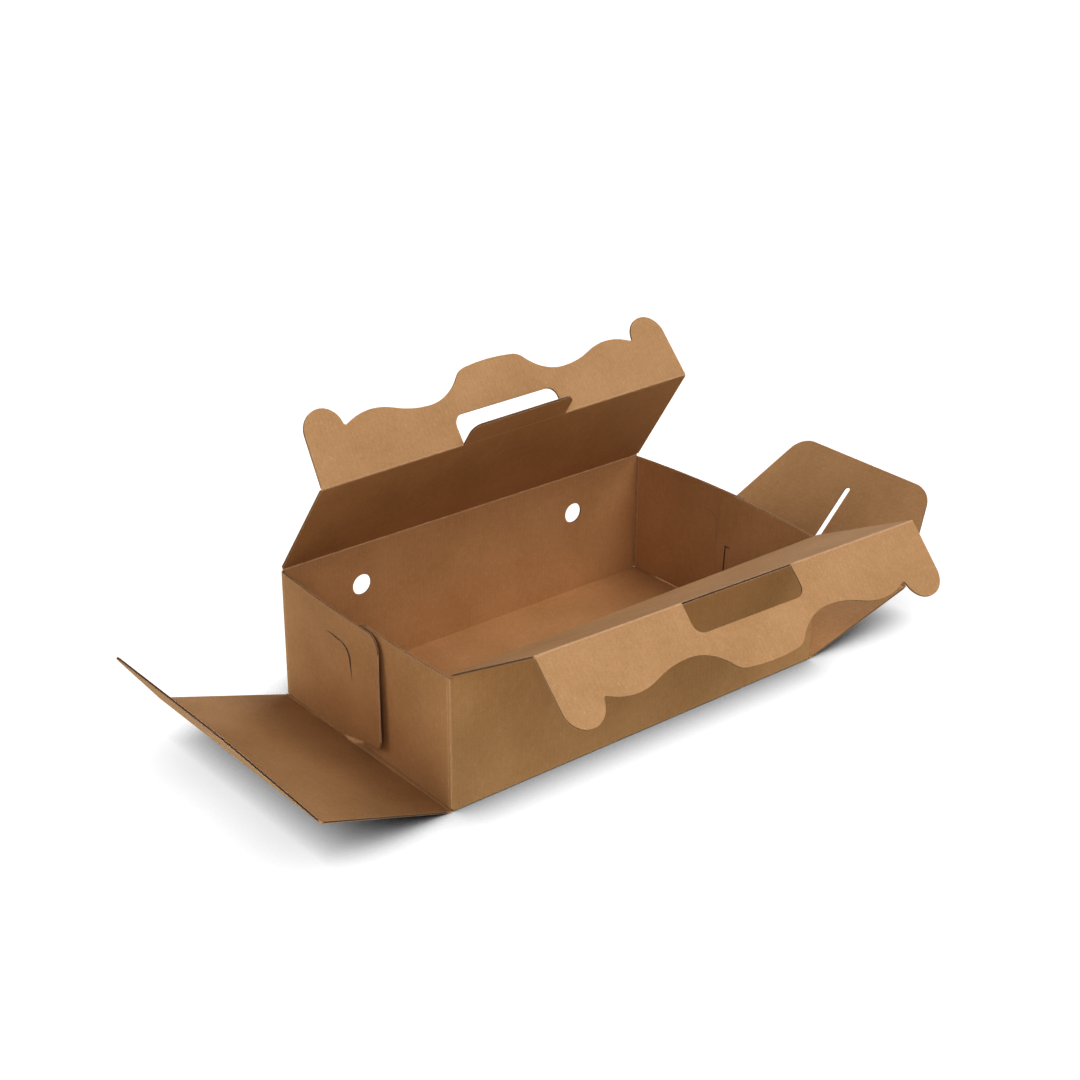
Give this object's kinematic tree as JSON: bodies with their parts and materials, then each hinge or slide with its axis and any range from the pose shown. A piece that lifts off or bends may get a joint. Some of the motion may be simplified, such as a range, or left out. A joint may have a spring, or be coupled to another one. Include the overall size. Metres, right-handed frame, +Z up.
{
  "type": "takeaway box",
  "caption": "Long carry box folded from corrugated card, standing open, with two roof halves that end in wavy handle panels and two slotted end flaps.",
  "frame": {"origin": "centre of the floor's underside, on the table", "axes": "+X along the box to the right, +Y to the back wall with the vents, +Z up"},
  "size_m": [0.6353, 0.3163, 0.2237],
  "materials": {
    "kraft_tray": "matte brown kraft liner on corrugated card",
    "kraft_roof": "matte brown kraft liner on corrugated card",
    "kraft_handle": "matte brown kraft liner on corrugated card",
    "kraft_end": "matte brown kraft liner on corrugated card"
  },
  "bodies": {
    "tray": {"tray": "kraft_tray"},
    "back_roof_panel": {"back_roof_panel": "kraft_roof"},
    "back_handle_panel": {"back_handle_panel": "kraft_handle"},
    "front_roof_panel": {"front_roof_panel": "kraft_roof"},
    "front_handle_panel": {"front_handle_panel": "kraft_handle"},
    "left_end_panel": {"left_end_panel": "kraft_end"},
    "left_tip_panel": {"left_tip_panel": "kraft_end"},
    "right_end_panel": {"right_end_panel": "kraft_end"},
    "right_tip_panel": {"right_tip_panel": "kraft_end"}
  },
  "joints": [
    {"name": "back_roof_crease", "type": "hinge", "parent": "tray", "child": "back_roof_panel", "pos_m": [0, 0.09725, 0.1005], "axis": [1, 0, 0], "range_deg": [-123.6, 55.1]},
    {"name": "back_handle_crease", "type": "hinge", "parent": "back_roof_panel", "child": "back_handle_panel", "pos_m": [0, 0.04401, 0.18063], "axis": [-1, 0, 0], "range_deg": [-70.6, 18.1]},
    {"name": "front_roof_crease", "type": "hinge", "parent": "tray", "child": "front_roof_panel", "pos_m": [0, -0.09725, 0.1005], "axis": [-1, 0, 0], "range_deg": [-28.6, 151.4]},
    {"name": "front_handle_crease", "type": "hinge", "parent": "front_roof_panel", "child": "front_handle_panel", "pos_m": [0, -0.18171, 0.14655], "axis": [1, 0, 0], "range_deg": [-76.1, 13.9]},
    {"name": "left_end_crease", "type": "hinge", "parent": "tray", "child": "left_end_panel", "pos_m": [-0.16725, 0, 0.00075], "axis": [0, 1, 0], "range_deg": [-18.3, 56.5]},
    {"name": "left_tip_crease", "type": "hinge", "parent": "left_end_panel", "child": "left_tip_panel", "pos_m": [-0.26457, 0, 0.03293], "axis": [0, 1, 0], "range_deg": [-35, 13]},
    {"name": "right_end_crease", "type": "hinge", "parent": "tray", "child": "right_end_panel", "pos_m": [0.16725, 0, 0.00075], "axis": [0, -1, 0], "range_deg": [-14.8, 60]},
    {"name": "right_tip_crease", "type": "hinge", "parent": "right_end_panel", "child": "right_tip_panel", "pos_m": [0.26635, 0, 0.02693], "axis": [0, -1, 0], "range_deg": [-30, 18]}
  ]
}
